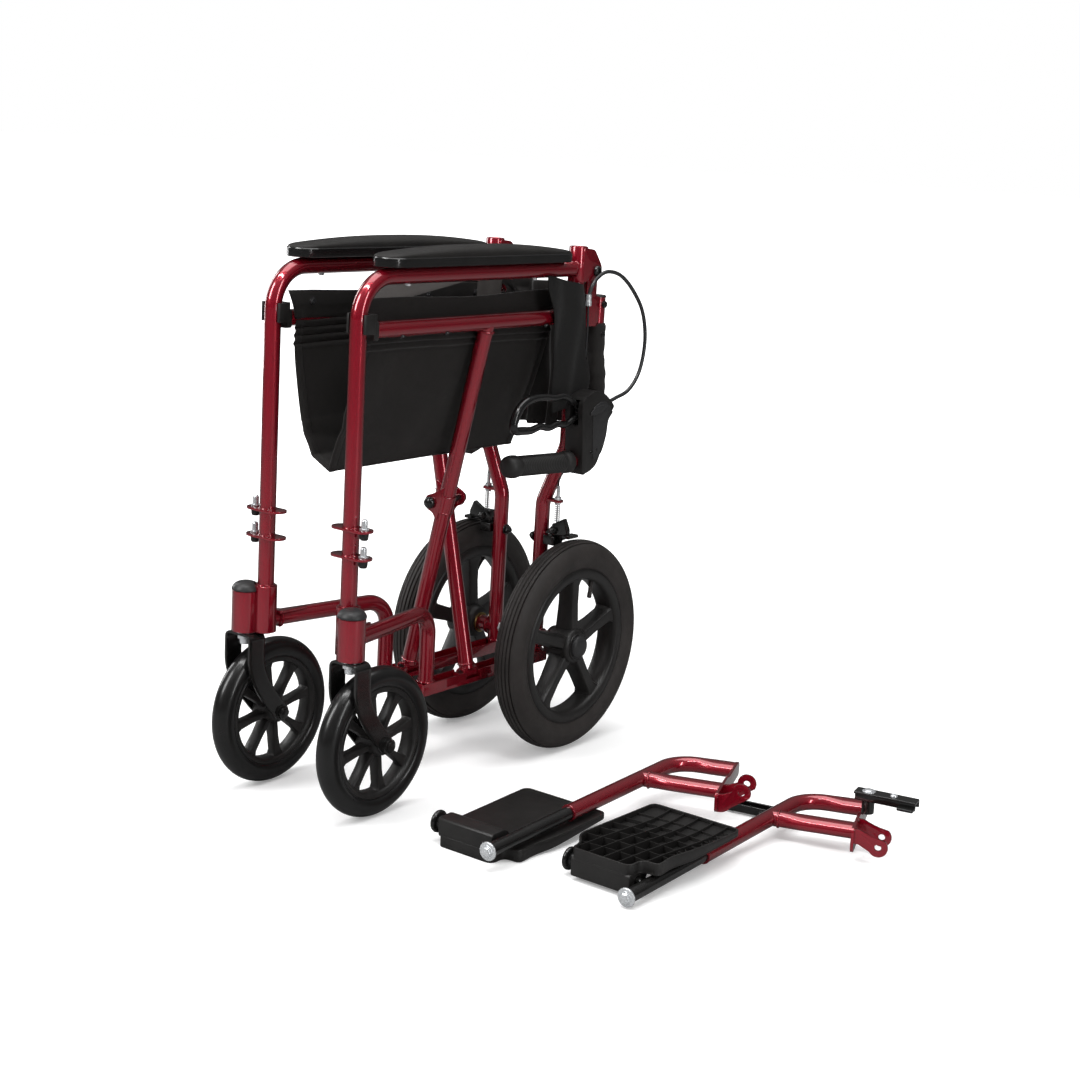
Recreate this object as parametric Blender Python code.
"""Folding transport wheelchair, laterally folded, with the back folded down and both
swing-away footrests taken off and laid on the floor beside it.

Metres, +Z up, +X towards the chair's own left side, -Y towards its front.  Points are in
the chair frame: on the floor, midway between the rear wheels.  Paired pieces are drawn on
the left (+X) and mirrored for the right.
"""

import math
from math import cos, pi, radians, sin

import bmesh
import bpy
import numpy as np
from mathutils import Matrix, Vector

# ---------------------------------------------------------------- driving dimensions
CHAIR_AT = (-0.281732, 0.181333, 0.0)  # chair frame in world axes
TUBE_R = 0.011                         # 22 mm frame tube
TUBE_SIDES = 12
SMOOTH_ANGLE = 40                      # edges sharper than this stay sharp, degrees

# Half spacings when folded, and the posts' places front to rear
POST_X = 0.075
REAR_X = 0.076
BAR_X = 0.0386
FRONT_Y, REAR_Y = -0.4535, 0.0
ARM_Z = 0.707                          # arm tube centre
RAIL_Z = 0.640                         # seat rail centre

# Cross braces: the front one has its foot on the right, the rear one on the left
BRACE_FOOT_Z = 0.132
BRACE_PIVOT_Z = 0.3804
BRACE_FRONT_Y, BRACE_REAR_Y = -0.199, -0.159
BRACE_FOOT_Y = {"left": BRACE_REAR_Y, "right": BRACE_FRONT_Y}

# Wheels
SWIVEL_X, SWIVEL_Y = 0.096, -0.469     # caster housing axis
CASTER_TRAIL = 0.050
CASTER_R, CASTER_HALF_W = 0.1016, 0.0155
CASTER_HUB = (SWIVEL_X, SWIVEL_Y + CASTER_TRAIL, CASTER_R)
WHEEL_R, WHEEL_HALF_W, WHEEL_X = 0.157, 0.0235, 0.0968
REAR_HUB = (WHEEL_X, REAR_Y, WHEEL_R)

# Back, its brake lever and the seat fabric
BACK_PIVOT = (0.0276, 0.704)           # (y, z) of the fold-down hinge
BACK_HOLE_R = 0.0043
BACK_Y = 0.055                         # folded upper cane
LEVER_PIVOT = (0.104, -0.012, 0.506)
SLING_TOP = (0.066, 0.655)             # (x, z) where the seat fabric leaves its rail
SLING_HALF = 0.2180                    # half width of the seat fabric
HANGER_PIN_X = 0.097

# Footrests
HANGER_TILT = 2.2                      # lean as they lie, degrees
HANGER_AT = {"left": (0.518, -0.432, 0.0137), "right": (0.331, -0.4636, 0.0275)}

SIDES = {"left": 1, "right": -1}       # sign of X
SIDE_BODY = {"left": "chair", "right": "axis_right_frame"}

for old in list(bpy.data.objects):
    bpy.data.objects.remove(old, do_unlink=True)

SCENE = bpy.context.scene.collection


# ---------------------------------------------------------------- materials
def material(name, colour, roughness, metallic):
    made = bpy.data.materials.new(name)
    made.use_nodes = True
    inputs = made.node_tree.nodes["Principled BSDF"].inputs
    inputs["Base Color"].default_value = (*colour, 1)
    inputs["Roughness"].default_value = roughness
    inputs["Metallic"].default_value = metallic
    return made


RED = material("red_paint", colour=(0.26, 0.008, 0.02), roughness=0.25, metallic=0.35)
BLACK_STEEL = material("black_steel", colour=(0.015, 0.015, 0.016), roughness=0.3, metallic=0.2)
ZINC = material("zinc", colour=(0.62, 0.63, 0.65), roughness=0.3, metallic=1.0)
RUBBER = material("tyre_rubber", colour=(0.03, 0.029, 0.028), roughness=0.75, metallic=0.0)
PLASTIC = material("black_plastic", colour=(0.02, 0.02, 0.021), roughness=0.45, metallic=0.0)
GRIP = material("grip_rubber", colour=(0.03, 0.03, 0.032), roughness=0.6, metallic=0.0)
FABRIC = material("black_nylon", colour=(0.012, 0.012, 0.012), roughness=0.85, metallic=0.0)
PAD = material("arm_pad_vinyl", colour=(0.012, 0.012, 0.013), roughness=0.5, metallic=0.0)


# ---------------------------------------------------------------- shapes
class Shape:
    """Closed mesh: points and faces."""

    def __init__(self, points, faces):
        self.points = [tuple(map(float, point)) for point in points]
        self.faces = [tuple(face) for face in faces]

    def mirrored(self):
        return Shape([(-x, y, z) for x, y, z in self.points], [face[::-1] for face in self.faces])

    def mapped(self, place):
        return Shape([place(point) for point in self.points], self.faces)


def unit(vector):
    return vector / np.linalg.norm(vector)


def axes_about(direction):
    """Two unit vectors square to a direction, and the unit direction itself."""
    axis = unit(np.array(direction, float))
    helper = np.array([0, 0, 1.0]) if abs(axis[2]) < 0.9 else np.array([0, 1.0, 0])
    side = unit(np.cross(helper, axis))
    return side, np.cross(axis, side), axis


def circle(centre, radius, side, up, sides):
    angles = [2 * pi * k / sides for k in range(sides)]
    return [centre + radius * (side * cos(a) + up * sin(a)) for a in angles]


def loft(rings, closed=False):
    """Skin over rings of equal count, capped at both ends or joined last to first."""
    size, count = len(rings[0]), len(rings)
    points = [point for ring in rings for point in ring]
    faces = []
    for i in range(count if closed else count - 1):
        here, there = i * size, ((i + 1) % count) * size
        for k in range(size):
            k2 = (k + 1) % size
            faces.append((here + k, here + k2, there + k2, there + k))
    if not closed:
        faces.append(tuple(range(size))[::-1])
        faces.append(tuple((count - 1) * size + k for k in range(size)))
    return Shape(points, faces)


def bent(corners, radii, step=15):
    """Straight runs joined by arcs of the given radii, about step degrees per segment."""
    corners = [np.array(corner, float) for corner in corners]
    path = [corners[0]]
    for before, corner, after, radius in zip(corners, corners[1:], corners[2:], radii):
        back, ahead = unit(before - corner), unit(after - corner)
        turn = pi - math.acos(max(-1, min(1, float(back @ ahead))))
        setback = radius * math.tan(turn / 2)
        centre = corner + unit(back + ahead) * (radius / cos(turn / 2))
        start, end = corner + back * setback, corner + ahead * setback
        first = (start - centre) / radius
        second = end - centre
        second = unit(second - (second @ first) * first)
        count = max(1, int(round(math.degrees(turn) / step)))
        for j in range(count + 1):
            angle = turn * j / count
            path.append(centre + radius * (first * cos(angle) + second * sin(angle)))
    path.append(corners[-1])
    return path


def directions_along(path, closed):
    last = len(path) - 1
    directions = []
    for i in range(last + 1):
        if closed:
            heading = path[(i + 1) % (last + 1)] - path[i - 1]
        elif 0 < i < last:
            heading = unit(path[i] - path[i - 1]) + unit(path[i + 1] - path[i])
        else:
            heading = path[min(i + 1, last)] - path[max(i - 1, 0)]
        directions.append(unit(heading))
    return directions


def tube(path, radius, sides=TUBE_SIDES, closed=False, bore=None):
    """Round bar along a path.  bore=(radius, depth) opens a blind hole at its start."""
    path = [np.array(point, float) for point in path]
    directions = directions_along(path, closed)
    side, up, axis = axes_about(directions[0])
    rings = []
    if bore:
        bore_radius, depth = bore
        rings = [circle(path[0] + directions[0] * inset, bore_radius, side, up, sides)
                 for inset in (depth, 0.0)]
    rings.append(circle(path[0], radius, side, up, sides))
    for point, axis in zip(path[1:], directions[1:]):
        side = unit(side - (side @ axis) * axis)
        up = np.cross(axis, side)
        rings.append(circle(point, radius, side, up, sides))
    return loft(rings, closed)


def rod(start, end, radius, sides=TUBE_SIDES):
    return tube([start, end], radius, sides)


def turned(profile, origin, direction, sides):
    """Solid turned from (radius, along) points, with a flat cap at each end."""
    side, up, axis = axes_about(direction)
    origin = np.array(origin, float)
    return loft([circle(origin + axis * along, radius, side, up, sides)
                 for radius, along in profile])


def turned_ring(profile, origin, direction, sides):
    """Ring turned from a closed (radius, along) outline."""
    side, up, axis = axes_about(direction)
    origin = np.array(origin, float)
    sections = []
    for k in range(sides):
        angle = 2 * pi * k / sides
        outward = side * cos(angle) + up * sin(angle)
        sections.append([origin + outward * radius + axis * along for radius, along in profile])
    return loft(sections, closed=True)


def box(low, high):
    (x0, y0, z0), (x1, y1, z1) = low, high
    points = [(x, y, z) for z in (z0, z1) for x, y in ((x0, y0), (x1, y0), (x1, y1), (x0, y1))]
    return Shape(points, [(3, 2, 1, 0), (4, 5, 6, 7), (0, 1, 5, 4),
                          (1, 2, 6, 5), (2, 3, 7, 6), (3, 0, 4, 7)])


def prism(outline, plane, low, high):
    """Extrudes an outline in plane 'yz' along X, 'xz' along Y or 'xy' along Z."""
    place = {
        "yz": lambda p, depth: (depth, p[0], p[1]),
        "xz": lambda p, depth: (p[0], depth, p[1]),
        "xy": lambda p, depth: (p[0], p[1], depth),
    }[plane]
    return loft([[place(point, depth) for point in outline] for depth in (low, high)])


# ---------------------------------------------------------------- meshes and objects
def mesh_of(shape):
    mesh = bpy.data.meshes.new("shape")
    mesh.from_pydata(shape.points, [], shape.faces)
    bm = bmesh.new()
    bm.from_mesh(mesh)
    bmesh.ops.recalc_face_normals(bm, faces=bm.faces)
    if bm.calc_volume(signed=True) < 0:
        bmesh.ops.reverse_faces(bm, faces=bm.faces)
    bm.to_mesh(mesh)
    bm.free()
    return mesh


def fused(adds, cuts):
    """One mesh: the union of the added shapes, less the cutters."""
    base = bpy.data.objects.new("fused_base", mesh_of(adds[0]))
    SCENE.objects.link(base)
    temporary = [base]
    for operation, shapes in (("UNION", adds[1:]), ("DIFFERENCE", cuts)):
        for shape in shapes:
            helper = bpy.data.objects.new("fused_helper", mesh_of(shape))
            helper.hide_render = True
            SCENE.objects.link(helper)
            temporary.append(helper)
            boolean = base.modifiers.new("b", "BOOLEAN")
            boolean.operation = operation
            boolean.object = helper
            boolean.solver = "EXACT"
    bpy.context.view_layer.update()
    graph = bpy.context.evaluated_depsgraph_get()
    mesh = bpy.data.meshes.new_from_object(base.evaluated_get(graph))
    for obj in temporary:
        bpy.data.objects.remove(obj, do_unlink=True)
    return mesh


JOINTS = {}  # name: (empty, its place in the chair frame)


def joint(name, place, parent=None):
    """Empty on a joint axis, at a chair-frame point."""
    marker = bpy.data.objects.new(name, None)
    marker.empty_display_size = 0.03
    SCENE.objects.link(marker)
    if parent:
        marker.parent, parent_place = JOINTS[parent]
        marker.location = Vector(place) - Vector(parent_place)
    else:
        marker.location = Vector(place) + Vector(CHAIR_AT)
    JOINTS[name] = (marker, tuple(place))


def piece(name, finish, joint_name, adds, cuts=(), mirror=False):
    """A named solid in chair-frame points, its origin on its joint."""
    if mirror:
        adds = [shape.mirrored() for shape in adds]
        cuts = [shape.mirrored() for shape in cuts]
    mesh = fused(adds, cuts) if len(adds) + len(cuts) > 1 else mesh_of(adds[0])
    marker, place = JOINTS[joint_name]
    mesh.transform(Matrix.Translation(-Vector(place)))
    mesh.name = name
    mesh.materials.clear()
    mesh.materials.append(finish)
    mesh.shade_smooth()
    mesh.set_sharp_from_angle(angle=radians(SMOOTH_ANGLE))
    obj = bpy.data.objects.new(name, mesh)
    SCENE.objects.link(obj)
    obj.parent = marker


def side_piece(name, side, finish, joint_name, adds, cuts=()):
    """A piece drawn on the left; the right-hand one is its mirror image."""
    piece(f"{name}_{side}", finish, joint_name, adds, cuts, mirror=side == "right")


# ---------------------------------------------------------------- joint axes
def chair_joints():
    brace_mid_y = (BRACE_FRONT_Y + BRACE_REAR_Y) / 2
    joint("chair", (0, 0, 0))
    joint("axis_brace_q", (BAR_X, BRACE_REAR_Y, BRACE_FOOT_Z), "chair")
    joint("axis_brace_p", (0.0, brace_mid_y, BRACE_PIVOT_Z), "axis_brace_q")
    joint("axis_right_frame", (-BAR_X, BRACE_FRONT_Y, BRACE_FOOT_Z), "axis_brace_p")
    for side, sign in SIDES.items():
        rail_body = {"left": "axis_brace_p", "right": "axis_brace_q"}[side]
        for name, (x, y, z), parent in (
            ("clips", (REAR_X, FRONT_Y, RAIL_Z), rail_body),
            ("sling", (SLING_TOP[0], -0.2, SLING_TOP[1]), rail_body),
            ("rear_wheel", REAR_HUB, SIDE_BODY[side]),
            ("caster", (SWIVEL_X, SWIVEL_Y, 0.25), SIDE_BODY[side]),
            ("caster_wheel", CASTER_HUB, "axis_caster_" + side),
            ("back", (REAR_X, *BACK_PIVOT), SIDE_BODY[side]),
            ("lever", LEVER_PIVOT, "axis_back_" + side),
            ("brake_arm", (0.0675, -0.0055, 0.3247), SIDE_BODY[side]),
        ):
            joint(f"axis_{name}_{side}", (x * sign, y, z), parent)
    joint("axis_back_upper_right", (-0.03, BACK_Y, 0.57), "axis_back_left")
    joint("axis_back_lower_right", (-0.03, 0, 0.58), "chair")


# ---------------------------------------------------------------- side frames
LUG_R = 0.0145
LUG_HALF_T = 0.0015
# (y, z) outline of the ears that hold the back hinge
HINGE_EAR = [(-0.004, 0.690), (0.030, 0.690), (0.0405, 0.697),
             (0.0405, 0.711), (0.022, 0.7345), (-0.004, 0.7375)]


def side_frame(side):
    """Posts, arm tube, caster housing, bottom bar and the fittings welded to them."""
    foot_y = BRACE_FOOT_Y[side]
    strut_y, strut_z = -0.250, 0.239
    front_post = bent([(POST_X, FRONT_Y, 0.2245), (POST_X, FRONT_Y, ARM_Z),
                       (REAR_X, -0.002, ARM_Z)], [0.055])
    rear_post = bent([(REAR_X, REAR_Y, 0.7335), (REAR_X, REAR_Y, 0.452),
                      (BAR_X, REAR_Y, 0.363), (BAR_X, REAR_Y, 0.1305)], [0.04, 0.04], 12)
    strut = bent([(POST_X - 0.001, FRONT_Y + 0.006, strut_z), (BAR_X, strut_y, strut_z),
                  (BAR_X, strut_y, 0.133)], [0.035])
    adds = [
        tube(front_post, TUBE_R),
        tube(rear_post, TUBE_R),
        # sleeves at the rear post's top and the front post's foot, then the caster housing
        rod((REAR_X, REAR_Y, 0.688), (REAR_X, REAR_Y, 0.739), 0.0135, 14),
        rod((POST_X, FRONT_Y, 0.2225), (POST_X, FRONT_Y, 0.286), 0.0155, 14),
        rod((SWIVEL_X, SWIVEL_Y, 0.222), (SWIVEL_X, SWIVEL_Y, 0.278), 0.0185, 16),
        tube(strut, TUBE_R),
        # bottom bar
        box((BAR_X - 0.0125, -0.268, 0.120), (BAR_X + 0.0125, 0.014, 0.1465)),
        # rear axle socket
        rod((BAR_X + 0.0005, REAR_Y, WHEEL_R), (0.0665, REAR_Y, WHEEL_R), 0.0125),
        # strip across the lower bend of the rear post
        box((BAR_X + 0.008, -0.006, 0.3655), (0.0725, 0.006, 0.3695)),
    ]
    for near, far in ((0.0093, 0.0138), (-0.0138, -0.0093)):
        adds.append(prism(HINGE_EAR, "yz", REAR_X + near, REAR_X + far))
    # round-ended lugs for the hanger pin
    lug = [(x + LUG_R * cos(radians(start + 36 * k)), FRONT_Y + LUG_R * sin(radians(start + 36 * k)))
           for x, start in ((0.094, -90), (0.060, 90)) for k in range(6)]
    for z in (0.3885, 0.3524):
        adds.append(prism(lug, "xy", z - LUG_HALF_T, z + LUG_HALF_T))
    slot_half = 0.0155
    cuts = [
        # caster stem bore
        rod((SWIVEL_X, SWIVEL_Y, 0.210), (SWIVEL_X, SWIVEL_Y, 0.270), 0.0095, 14),
        # seat of the brace foot, open to the top of the bar
        rod((BAR_X, foot_y - slot_half, BRACE_FOOT_Z),
            (BAR_X, foot_y + slot_half, BRACE_FOOT_Z), 0.0095, 14),
        box((BAR_X - 0.02, foot_y - slot_half, BRACE_FOOT_Z - 0.0055),
            (BAR_X + 0.02, foot_y + slot_half, 0.16)),
        # rear axle, back hinge and hanger pin holes
        rod((0.0465, REAR_Y, WHEEL_R), (0.08, REAR_Y, WHEEL_R), 0.0066, 10),
        rod((REAR_X - 0.03, *BACK_PIVOT), (REAR_X + 0.03, *BACK_PIVOT), BACK_HOLE_R, 10),
        rod((HANGER_PIN_X, FRONT_Y, 0.33), (HANGER_PIN_X, FRONT_Y, 0.41), 0.0048, 10),
    ]
    side_piece("side_frame", side, RED, SIDE_BODY[side], adds, cuts)


def caster_cap(side):
    """Rubber dome on the caster housing, notched where the front post stands beside it."""
    profile = [(0.0195, 0.0), (0.0198, 0.003), (0.0165, 0.0075), (0.0095, 0.0108), (0.003, 0.0118)]
    dome = turned(profile, (SWIVEL_X, SWIVEL_Y, 0.2784), (0, 0, 1), 16)
    notch = rod((POST_X, FRONT_Y, 0.27), (POST_X, FRONT_Y, 0.30), 0.0159, 16)
    side_piece("caster_cap", side, GRIP, SIDE_BODY[side], [dome], [notch])


def arm_pad(side):
    """Rounded block on the arm tube."""
    # (z, inset of the outline)
    layers = [(0.7187, 0.003), (0.7215, 0.0), (0.7300, 0.0),
              (0.7370, 0.0028), (0.7420, 0.0075), (0.7447, 0.0145)]
    half_width, front_y, rear_y, corner_r = 0.0245, -0.4230, -0.0350, 0.018
    rings = []
    for z, inset in layers:
        half = half_width - inset
        radius = min(corner_r, half - 0.002)
        x = half - radius
        front, rear = front_y + inset + radius, rear_y - inset - radius
        ring = []
        for centre_x, centre_y, start in ((x, rear, 0), (-x, rear, 90),
                                          (-x, front, 180), (x, front, 270)):
            for k in range(4):
                angle = radians(start + 30 * k)
                ring.append((REAR_X + centre_x + radius * cos(angle),
                             centre_y + radius * sin(angle), z))
        rings.append(ring)
    side_piece("arm_pad", side, PAD, SIDE_BODY[side], [loft(rings)])


def hanger_pin(side):
    """Pin that carries the footrest hanger, through both lugs of the front post."""
    profile = [(0.0045, 0.3420), (0.0045, 0.3995), (0.0030, 0.4020)]
    pin = turned(profile, (HANGER_PIN_X, FRONT_Y, 0), (0, 0, 1), 10)
    side_piece("hanger_pin", side, ZINC, SIDE_BODY[side], [pin])


def rear_axle(side):
    """Bolt from the frame's socket through the hub, with its end cap."""
    side_piece("rear_axle", side, ZINC, SIDE_BODY[side], [
        rod((0.047, REAR_Y, WHEEL_R), (0.1195, REAR_Y, WHEEL_R), 0.006, 10),
        rod((0.1185, REAR_Y, WHEEL_R), (0.1225, REAR_Y, WHEEL_R), 0.0115),
    ])


def brake(side):
    """Tyre-pressing brake: bracket on the rear post and the arm that carries the shoe."""
    side_piece("brake_bracket", side, BLACK_STEEL, SIDE_BODY[side], [
        box((0.0502, -0.011, 0.302), (0.0700, 0.011, 0.3155)),
        box((0.0580, -0.0015, 0.310), (0.0770, 0.011, 0.333)),
    ])
    # (x, z)
    arm = [(0.0512, 0.3185), (0.066, 0.3345), (0.085, 0.3455), (0.0925, 0.3290),
           (0.0925, 0.3180), (0.0860, 0.3180), (0.0830, 0.3205), (0.068, 0.3185)]
    side_piece("brake_arm", side, BLACK_STEEL, "axis_brake_arm_" + side, [
        prism(arm, "xz", -0.0085, -0.0025),
        box((0.0862, -0.0135, 0.3170), (0.0985, 0.0105, 0.3215)),
    ])


def back_hinge_bolt(side):
    # (start and end from the post's centre line, radius, sides): shank, head, nut
    parts = ((-0.0175, 0.0175, 0.004, 10), (0.0143, 0.0195, 0.0075, 10),
             (-0.0143, -0.0190, 0.0070, 6))
    side_piece("back_hinge_bolt", side, BLACK_STEEL, SIDE_BODY[side], [
        rod((REAR_X + start, *BACK_PIVOT), (REAR_X + end, *BACK_PIVOT), radius, sides)
        for start, end, radius, sides in parts])


# ---------------------------------------------------------------- wheels
def spoke(centre, angle, sections):
    """Tapered bar out from a hub; sections are (radius, half width, half thickness)."""
    outward = np.array([0, cos(angle), sin(angle)])
    across = np.array([0, -sin(angle), cos(angle)])
    return loft([[np.array(centre) + outward * radius + across * half_w * i
                  + np.array([half_t * j, 0, 0])
                  for i, j in ((-1, -1), (1, -1), (1, 1), (-1, 1))]
                 for radius, half_w, half_t in sections])


def wheel(kind, side, centre, half_width, tyre_angles, sides, rim, hub, hub_sides,
          spoke_count, first_spoke, spoke_sections):
    """Tyre and spoked wheel.  Rim and hub are closed (radius, along X) outlines."""
    joint_name = f"axis_{kind}_wheel_{side}"
    axis = (1, 0, 0)
    section_r = centre[2] - half_width  # the tyre stands on the floor
    tyre = [(section_r + half_width * cos(radians(a)), half_width * sin(radians(a)))
            for a in tyre_angles]
    side_piece(kind + "_tyre", side, RUBBER, joint_name, [turned_ring(tyre, centre, axis, sides)])
    adds = [turned_ring(rim, centre, axis, sides), turned_ring(hub, centre, axis, hub_sides)]
    for k in range(spoke_count):
        angle = radians(first_spoke + 360 / spoke_count * k)
        adds.append(spoke(centre, angle, spoke_sections))
    side_piece(kind + "_wheel", side, PLASTIC, joint_name, adds)


def rear_wheel(side):
    wheel("rear", side, REAR_HUB, WHEEL_HALF_W,
          tyre_angles=(-120, -90, -60, -30, 0, 30, 60, 90, 120), sides=36,
          rim=[(0.1030, -0.017), (0.1185, -0.017), (0.1210, -0.0150), (0.1210, 0.0150),
               (0.1185, 0.017), (0.1030, 0.017), (0.1000, 0.0)],
          hub=[(0.0068, -0.028), (0.0220, -0.028), (0.0250, -0.018), (0.0250, 0.018),
               (0.0180, 0.0212), (0.0068, 0.0212)],
          hub_sides=20, spoke_count=5, first_spoke=90,
          spoke_sections=((0.019, 0.0125, 0.0135), (0.106, 0.0105, 0.0115)))


def caster_wheel(side):
    wheel("caster", side, CASTER_HUB, CASTER_HALF_W,
          tyre_angles=(-130, -90, -50, -20, 20, 50, 90, 130), sides=32,
          rim=[(0.0700, -0.0125), (0.0755, -0.0110), (0.0755, 0.0110),
               (0.0700, 0.0125), (0.0670, 0.0)],
          hub=[(0.0059, -0.0195), (0.0150, -0.0195), (0.0175, -0.012), (0.0175, 0.012),
               (0.0150, 0.0195), (0.0059, 0.0195)],
          hub_sides=16, spoke_count=8, first_spoke=10,
          spoke_sections=((0.0145, 0.0060, 0.0085), (0.0715, 0.0050, 0.0075)))


def caster_fork(side):
    """Fork with its stem, and the axle bolt with a hexagon at each end."""
    x, y = SWIVEL_X, SWIVEL_Y
    hub_x, hub_y, hub_z = CASTER_HUB
    # (y, z)
    leg = [(y - 0.014, 0.2208), (y + 0.014, 0.2208), (y + 0.016, 0.172),
           (hub_y + 0.013, 0.112), (hub_y + 0.0135, 0.0965), (hub_y + 0.007, 0.0885),
           (hub_y - 0.005, 0.0885), (hub_y - 0.014, 0.098), (y - 0.014, 0.160)]
    stem = [(0.0075, 0.211), (0.0075, 0.262), (0.0050, 0.2645)]
    adds = [
        prism(leg, "yz", x + 0.0205, x + 0.0238),
        prism(leg, "yz", x - 0.0238, x - 0.0205),
        box((x - 0.0236, y - 0.0155, 0.2150), (x + 0.0236, y + 0.0155, 0.2211)),
        turned(stem, (x, y, 0), (0, 0, 1), 12),
    ]

    def cross_rod(start, end, radius, sides):
        return rod((hub_x + start, hub_y, hub_z), (hub_x + end, hub_y, hub_z), radius, sides)

    joint_name = "axis_caster_" + side
    side_piece("caster_fork", side, BLACK_STEEL, joint_name, adds,
               [cross_rod(-0.04, 0.04, 0.0060, 10)])
    side_piece("caster_axle", side, BLACK_STEEL, joint_name, [
        cross_rod(-0.026, 0.026, 0.0055, 10),
        cross_rod(0.0242, 0.0302, 0.0095, 6),
        cross_rod(-0.0302, -0.0242, 0.0095, 6),
    ])


# ---------------------------------------------------------------- folding cross braces
def cross_brace(name, joint_name, y, mirror):
    """Brace with its seat rail; as drawn, rail on the left and foot on the right."""
    top = np.array([REAR_X, y, RAIL_Z])
    foot = np.array([-BAR_X, y, BRACE_FOOT_Z])
    along = unit(top - foot)
    centre = foot + along * ((BRACE_PIVOT_Z - foot[2]) / along[2])
    above, below = centre + along * 0.028, centre - along * 0.028
    # (x, height above the pivot) of the bulge that carries the pivot
    bulge = [(0.004, 0.0125), (-0.007, 0.0085), (-0.011, 0), (-0.007, -0.0085), (0.004, -0.0125)]
    ear = [(above[0], above[2]), *((x, BRACE_PIVOT_Z + z) for x, z in bulge), (below[0], below[2])]

    def rail_rod(start_y, end_y, radius):
        return rod((REAR_X, start_y, RAIL_Z), (REAR_X, end_y, RAIL_Z), radius)

    adds = [
        rail_rod(-0.4225, -0.032, TUBE_R),
        rod(foot + along * 0.005, top, TUBE_R),
        rod((foot[0], y - 0.0150, BRACE_FOOT_Z), (foot[0], y + 0.0150, BRACE_FOOT_Z), 0.0090, 14),
        prism(ear, "xz", y - 0.0125, y - 0.0094),
        prism(ear, "xz", y + 0.0094, y + 0.0125),
    ]
    cuts = [
        # sockets in the rail's ends, then the pivot hole
        rail_rod(-0.43, -0.402, 0.0085),
        rail_rod(-0.052, -0.02, 0.0085),
        rod((0, y - 0.02, BRACE_PIVOT_Z), (0, y + 0.02, BRACE_PIVOT_Z), 0.0055, 10),
    ]
    piece(name, RED, joint_name, adds, cuts, mirror)


def cross_pivot_bolt():
    front, rear = BRACE_FRONT_Y - 0.0128, BRACE_REAR_Y + 0.0128
    head = [(0.0085, 0), (0.0085, 0.003), (0.0055, 0.0068), (0.002, 0.008)]
    piece("cross_pivot_bolt", BLACK_STEEL, "axis_brace_q", [
        rod((0, front - 0.002, BRACE_PIVOT_Z), (0, rear + 0.002, BRACE_PIVOT_Z), 0.005, 10),
        turned(head, (0, front, BRACE_PIVOT_Z), (0, -1, 0), 12),
        turned(head, (0, rear, BRACE_PIVOT_Z), (0, 1, 0), 12),
    ])


def seat_guides(side):
    """Plastic guides: a plug in each rail end and a collar that slides on the post."""
    bottom, top = 0.6365, 0.6615
    # name, post (x, y), block's low and high (x, y), plug's ends in y
    for name, post, low, high, plug in (
        ("front", (POST_X, FRONT_Y), (0.0570, -0.4720), (0.0930, -0.4230), (-0.4235, -0.4045)),
        ("rear", (REAR_X, REAR_Y), (0.0565, -0.0313), (0.0800, 0.0178), (-0.0500, -0.0308)),
    ):
        adds = [box((*low, bottom), (*high, top)),
                rod((REAR_X, plug[0], RAIL_Z), (REAR_X, plug[1], RAIL_Z), 0.0082)]
        cuts = [rod((*post, 0.62), (*post, 0.68), 0.0134, 16)]
        side_piece("seat_guide_" + name, side, PLASTIC, "axis_clips_" + side, adds, cuts)


# ---------------------------------------------------------------- upholstery
def seat_sling(side):
    """Half of the seat fabric; the two halves hang in a V."""
    start, end, half_thickness = 0.004, 0.1725, 0.0024
    drop = math.sqrt(SLING_HALF ** 2 - SLING_TOP[0] ** 2)
    down = np.array([-SLING_TOP[0], -drop]) / SLING_HALF
    across = np.array([-down[1], down[0]]) * half_thickness
    upper, lower = (np.array(SLING_TOP) + down * distance for distance in (start, end))
    outline = [upper + across, lower + across, lower - across, upper - across]
    side_piece("seat_sling", side, FABRIC, "axis_sling_" + side,
               [prism(outline, "xz", -0.415, -0.036)])


def back_fabric(side):
    """Slack back upholstery, between the posts and between the canes."""
    left = side == "left"
    side_piece("back_fabric_lower", side, FABRIC, "chair" if left else "axis_back_lower_right",
               [box((0.004, -0.006, 0.475), (0.0535, 0.008, 0.690))])
    side_piece("back_fabric_upper", side, FABRIC,
               "axis_back_left" if left else "axis_back_upper_right",
               [box((0.004, 0.047, 0.475), (0.0610, 0.061, 0.660))])


# ---------------------------------------------------------------- folding back
CANE = [(REAR_X, BACK_Y, 0.6655), (REAR_X, BACK_Y, 0.600),
        (0.1035, 0.040, 0.4315), (0.0925, -0.150, 0.4385)]
CANE_RADII = [0.12, 0.045]
CANE_STEP = 12
CANE_CORNER = np.array(CANE[2])
HANDLE_DIR = unit(np.array(CANE[3]) - CANE_CORNER)
# (y, z) outline of the hinge plate below its round top
HINGE_FLAG = [(0.0156, 0.6640), (0.0190, 0.6630), (0.0190, 0.6240), (0.0580, 0.6240),
              (0.0625, 0.6320), (0.0625, 0.6640), (0.0396, 0.6680)]
# (radius, distance from the cane's corner): the bore's end, out over the sleeve, domed end
GRIP_PROFILE = [
    (0.0113, 0.1935), (0.0113, 0.0672), (0.0158, 0.0672), (0.0160, 0.0800),
    (0.0146, 0.0840), (0.0150, 0.1250), (0.0146, 0.1840), (0.0152, 0.1880),
    (0.0150, 0.1935), (0.0125, 0.1990), (0.0070, 0.2020), (0.0020, 0.2028),
]
# (y, z)
HOUSING_OUTLINE = [
    (-0.0265, 0.5183), (-0.012, 0.5300), (0.0069, 0.5359), (0.026, 0.5310),
    (0.047, 0.5160), (0.0500, 0.5080), (0.036, 0.497), (0.030, 0.462),
    (0.0144, 0.4290), (-0.010, 0.4180), (-0.0185, 0.4215), (-0.0225, 0.4700),
]
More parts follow.
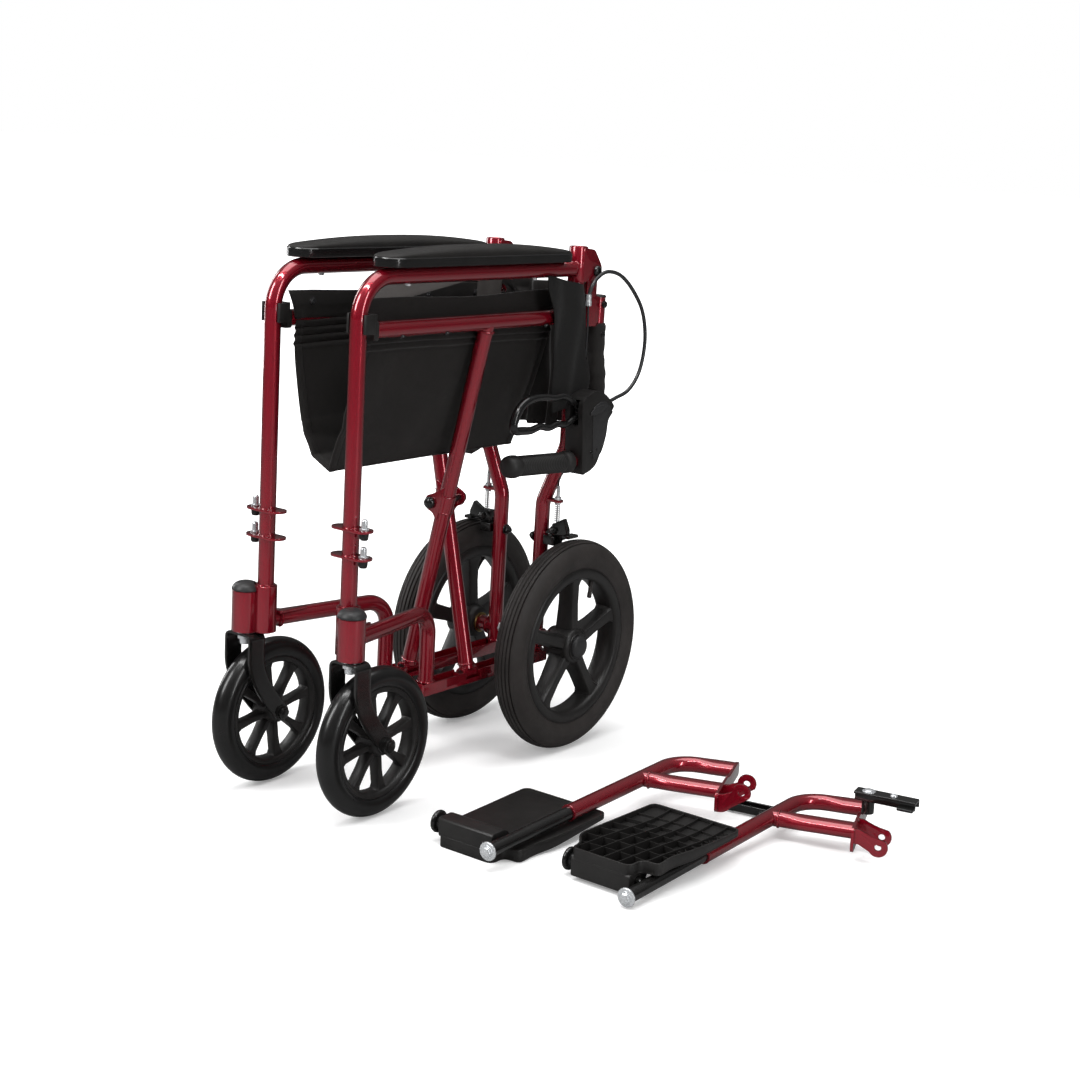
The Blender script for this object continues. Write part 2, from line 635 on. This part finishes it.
# (y, z) centre line of the looped brake lever
LEVER_LOOP = [
    (-0.0125, 0.5110), (-0.0230, 0.5170), (-0.0400, 0.5265), (-0.0560, 0.5315),
    (-0.0760, 0.5305), (-0.0980, 0.5335), (-0.1220, 0.5335), (-0.1420, 0.5290),
    (-0.1560, 0.5190), (-0.1640, 0.5060), (-0.1650, 0.4960), (-0.1590, 0.4910),
    (-0.1450, 0.4900), (-0.1000, 0.4895), (-0.0600, 0.4895), (-0.0400, 0.4915),
    (-0.0250, 0.4975), (-0.0125, 0.5015),
]


def back_cane(side):
    top_r = 0.012
    pivot_y, pivot_z = BACK_PIVOT
    round_top = [(pivot_y + top_r * cos(radians(a)), pivot_z + top_r * sin(radians(a)))
                 for a in range(0, 181, 30)]
    adds = [tube(bent(CANE, CANE_RADII, CANE_STEP), TUBE_R),
            prism(round_top + HINGE_FLAG, "yz", REAR_X - 0.0080, REAR_X + 0.0080)]
    cuts = [rod((REAR_X - 0.02, *BACK_PIVOT), (REAR_X + 0.02, *BACK_PIVOT), BACK_HOLE_R, 10)]
    side_piece("back_cane", side, RED, "axis_back_" + side, adds, cuts)


def push_grip(side):
    """Hollow grip with a domed end."""
    side_piece("push_grip", side, GRIP, "axis_back_" + side,
               [turned(GRIP_PROFILE, CANE_CORNER, HANDLE_DIR, 14)])


def lever_housing(side):
    """Brake lever housing inside the bend of the cane, hollowed for cane and lever."""
    clearance = 0.0004
    cane = [(REAR_X, BACK_Y, 0.640), *CANE[1:3], CANE_CORNER + HANDLE_DIR * 0.12]
    cuts = [tube(bent(cane, CANE_RADII, CANE_STEP), TUBE_R + clearance),
            box((0.0965, -0.05, 0.4880), (0.1115, 0.0010, 0.5245))]
    side_piece("lever_housing", side, PLASTIC, "axis_back_" + side,
               [prism(HOUSING_OUTLINE, "yz", 0.0882, 0.1195)], cuts)


def brake_lever(side):
    """Looped lever with its pivot boss, drawn on its own side."""
    sign = SIDES[side]
    x, y, z = LEVER_PIVOT
    loop = [(x * sign, loop_y, loop_z) for loop_y, loop_z in LEVER_LOOP]
    boss_half = 0.0055
    piece("brake_lever_" + side, GRIP, "axis_lever_" + side, [
        tube(loop, 0.0046, 8, closed=True),
        rod(((x - boss_half) * sign, y, z), ((x + boss_half) * sign, y, z), 0.0085),
    ])


# ---------------------------------------------------------------- footrests on the floor
# Own axes: +Y along the lower tube towards the hanger, X across the footplate, Z its
# thickness.  The right footrest is reflected in Z.
HANGER_FOOT_Y = 0.165
HANGER_TURN_Y = 0.418
MOUNT_OUT = (cos(radians(20)), sin(radians(20)))  # along the hanger's upper tube
MOUNT_ACROSS = (-MOUNT_OUT[1], MOUNT_OUT[0])      # along the pins it hangs on
MOUNT = (0.098, 0.405)
PLATE_Y, PLATE_Z = 0.040, 0.004                   # footplate hinge
LATCH = (0.100, 0.412)
LATCH_DIR = (cos(radians(10)), sin(radians(10)))


def footrest_placer(side):
    """Function that takes a footrest's own point to the chair frame."""
    origin_x, origin_y, origin_z = HANGER_AT[side]
    sign = SIDES[side]
    tilt_cos, tilt_sin = cos(radians(HANGER_TILT)), sin(radians(HANGER_TILT))

    def place(point):
        x, y, z = point
        return (origin_x + x,
                origin_y + y * tilt_cos - sign * z * tilt_sin,
                origin_z + y * tilt_sin + sign * z * tilt_cos)

    return place


def footrest_piece(name, side, finish, axis, adds, cuts=()):
    place = footrest_placer(side)
    piece(f"{name}_{side}", finish, f"axis_{axis}_{side}",
          [shape.mapped(place) for shape in adds], [shape.mapped(place) for shape in cuts])


def footrest_joints(side):
    place = footrest_placer(side)
    base, lower = "axis_hanger_" + side, "axis_lower_tube_" + side
    joint(base, place((0, HANGER_FOOT_Y, 0)), "chair")
    joint(lower, place((0, 0, 0)), base)
    joint("axis_footplate_" + side, place((-0.055, PLATE_Y, PLATE_Z)), lower)
    joint("axis_latch_" + side, place((*LATCH, 0.03)), base)


def from_mount(out, across, z):
    return (MOUNT[0] + MOUNT_OUT[0] * out + MOUNT_ACROSS[0] * across,
            MOUNT[1] + MOUNT_OUT[1] * out + MOUNT_ACROSS[1] * across, z)


def footrest_hanger(side):
    """Bent tube with a second tube, a mounting plate and two lugs."""
    reach = 0.0855
    main = bent([(0, HANGER_FOOT_Y, 0), (0, HANGER_TURN_Y, 0),
                 (reach * MOUNT_OUT[0], HANGER_TURN_Y + reach * MOUNT_OUT[1], 0)], [0.045], 12)
    plate = [(-0.004, -0.086), (0.0, -0.086), (0.0, 0.060), (-0.004, 0.060)]  # (out, across)
    # (out, z): strap with a round end, square to the pin direction
    lug = [(-0.003, -0.020), (0.030, -0.018), (0.042, -0.0127), (0.048, 0.0),
           (0.042, 0.0127), (0.030, 0.018), (-0.003, 0.020)]
    adds = [
        tube(main, TUBE_R, bore=(0.0094, 0.150)),
        tube([(0.003, 0.333, 0.0003), from_mount(-0.002, -0.038, 0.0003)], TUBE_R - 0.0005),
        loft([[from_mount(*corner, z) for corner in plate] for z in (-0.026, 0.026)]),
    ]
    for middle in (-0.046, -0.082):
        adds.append(loft([[from_mount(out, across, z) for out, z in lug]
                          for across in (middle - LUG_HALF_T, middle + LUG_HALF_T)]))
    pin_hole = rod(from_mount(0.030, -0.10, 0), from_mount(0.030, -0.03, 0), 0.0055, 10)
    footrest_piece("footrest_hanger", side, RED, "hanger", adds, [pin_hole])


def footrest_lower_tube(side):
    """Tube that slides in the hanger, with the footplate's hinge rod and end button."""
    button = [(0.0100, 0.0), (0.0115, 0.0015), (0.0115, 0.0050), (0.0085, 0.0068)]
    footrest_piece("footrest_lower_tube", side, BLACK_STEEL, "lower_tube", [
        rod((0, 0, 0), (0, 0.305, 0), 0.009),
        rod((-0.002, PLATE_Y, PLATE_Z), (-0.108, PLATE_Y, PLATE_Z), 0.0050, 10),
        turned(button, (-0.1035, PLATE_Y, PLATE_Z), (-1, 0, 0), 16),
    ])


def footplate(side):
    # (y, z) outlines
    sleeve = [(0.024, -0.0100), (0.052, -0.0100), (0.058, -0.0040), (0.062, 0.0125),
              (0.058, 0.0270), (0.024, 0.0260), (0.021, 0.0200), (0.021, -0.0060)]
    deck = [(0.052, 0.0127), (0.225, 0.0127), (0.232, 0.0150),
            (0.230, 0.0205), (0.055, 0.0268), (0.0485, 0.0200)]
    adds = [prism(sleeve, "yz", -0.098, -0.0125),
            box((-0.098, 0.050, 0.006), (-0.0128, 0.075, 0.020)),
            prism(deck, "yz", -0.1180, 0.0180)]
    hinge_hole = rod((-0.13, PLATE_Y, PLATE_Z), (0.03, PLATE_Y, PLATE_Z), 0.0056)
    footrest_piece("footplate", side, PLASTIC, "footplate", adds, [hinge_hole])


def latch_lever(side):
    # low and high corners from the latch axis, (along, across), and z range: bar, tab, stub
    blocks = (((-0.018, -0.010), (0.066, 0.010), (0.0285, 0.0400)),
              ((0.046, -0.022), (0.066, -0.008), (0.0285, 0.0400)),
              ((-0.004, -0.006), (0.004, 0.006), (0.0265, 0.0300)))
    adds = []
    for (a0, b0), (a1, b1), heights in blocks:
        outline = [(LATCH[0] + LATCH_DIR[0] * a - LATCH_DIR[1] * b,
                    LATCH[1] + LATCH_DIR[1] * a + LATCH_DIR[0] * b)
                   for a, b in ((a0, b0), (a1, b0), (a1, b1), (a0, b1))]
        adds.append(prism(outline, "xy", *heights))
    footrest_piece("latch_lever", side, BLACK_STEEL, "latch", adds)


# ---------------------------------------------------------------- the whole chair
chair_joints()
cross_brace("cross_brace_front", "axis_brace_p", BRACE_FRONT_Y, mirror=False)
cross_brace("cross_brace_rear", "axis_brace_q", BRACE_REAR_Y, mirror=True)
cross_pivot_bolt()
for side in SIDES:
    footrest_joints(side)
    for build in (
        side_frame, caster_cap, arm_pad, hanger_pin, rear_axle, brake, back_hinge_bolt,
        rear_wheel, caster_fork, caster_wheel, seat_guides, seat_sling, back_fabric,
        back_cane, push_grip, lever_housing, brake_lever,
        footrest_hanger, footrest_lower_tube, footplate, latch_lever,
    ):
        build(side)

bpy.context.view_layer.update()
